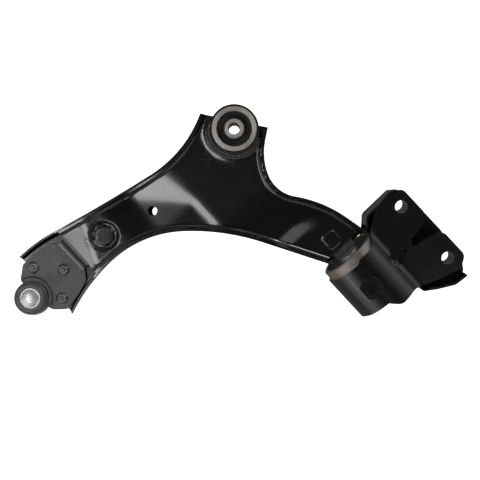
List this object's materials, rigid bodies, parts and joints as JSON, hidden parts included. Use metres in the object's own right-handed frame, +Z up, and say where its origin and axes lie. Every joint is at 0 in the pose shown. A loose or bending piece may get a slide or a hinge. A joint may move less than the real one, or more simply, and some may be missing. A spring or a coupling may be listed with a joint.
{
  "type": "control arm",
  "caption": "Pressed-steel L-shaped lower suspension arm with an upright front bush, a riveted ball joint and a rear bush in a bolted bracket.",
  "frame": {"origin": "centre of the front bush's bolt bore, midway along its sleeve", "axes": "+Z up the front bush's bore, away from the ball stud; +X towards the rear bush, level; the ball joint lies towards -Y. The arm swings about a line through the origin that falls 10 degrees towards +X."},
  "size_m": [0.4053, 0.4616, 0.1239],
  "materials": {
    "gloss_black_paint": "gloss black stoved paint over pressed steel",
    "satin_steel": "satin plated steel with a warm grey cast",
    "bright_steel": "bright zinc-plated steel",
    "dark_forging": "matte dark grey phosphated forging",
    "machined_steel": "machined steel, oiled",
    "cast_aluminium": "as cast",
    "black_rubber": "moulded natural rubber, matte",
    "seat_plastic": "natural acetal",
    "black_plastic": "glass-filled nylon"
  },
  "bodies": {
    "rear_bracket": {"bracket_upper": "gloss_black_paint", "bracket_lower": "gloss_black_paint", "bracket_spacers": "gloss_black_paint", "bracket_seam_weld": "gloss_black_paint", "rear_bush_can": "satin_steel", "rear_bush_cage": "satin_steel", "rear_bush_channel": "black_plastic", "rear_bush_rubber": "black_rubber"},
    "arm": {"lower_shell": "gloss_black_paint", "upper_shell": "gloss_black_paint", "front_bush_tube": "gloss_black_paint", "front_tube_weld": "gloss_black_paint", "front_bush_ring": "satin_steel", "front_bush_rubber": "black_rubber", "rear_pin": "dark_forging", "rear_pin_washer": "satin_steel", "rear_bush_core": "cast_aluminium", "ball_housing": "dark_forging", "ball_seat": "seat_plastic", "ball_cap": "bright_steel", "rivets": "dark_forging", "boot_lower_ring": "bright_steel"},
    "front_sleeve": {"front_bush_sleeve": "satin_steel"},
    "boot": {"dust_boot": "black_rubber"},
    "boot_ring": {"boot_upper_ring": "bright_steel"},
    "stud": {"ball_stud": "machined_steel"}
  },
  "joints": [
    {"name": "arm_swing", "type": "hinge", "parent": "rear_bracket", "child": "arm", "pos_m": [0, 0, 0], "axis": [0.9848, 0, -0.1736], "range_deg": [-16, 16], "stiffness_Nm_per_rad": 250, "deforming": ["rear_bush_rubber"]},
    {"name": "front_sleeve_tilt", "type": "hinge", "parent": "arm", "child": "front_sleeve", "pos_m": [0, 0, 0], "axis": [0.9848, 0, -0.1736], "range_deg": [-16, 16], "deforming": ["front_bush_rubber"]},
    {"name": "stud_swing_lateral", "type": "hinge", "parent": "arm", "child": "boot", "pos_m": [-0.02, -0.33, -0.017], "axis": [1, 0, 0], "range_deg": [-18, 18], "deforming": ["dust_boot"]},
    {"name": "stud_swing_fore_aft", "type": "hinge", "parent": "boot", "child": "boot_ring", "pos_m": [-0.02, -0.33, -0.017], "axis": [0, 1, 0], "range_deg": [-18, 18]},
    {"name": "stud_turn", "type": "hinge", "parent": "boot_ring", "child": "stud", "pos_m": [-0.02, -0.33, -0.017], "axis": [0, 0, 1], "continuous": true}
  ],
  "couplings": [
    {"joint": "front_sleeve_tilt", "follows": "arm_swing", "ratio": -1}
  ]
}
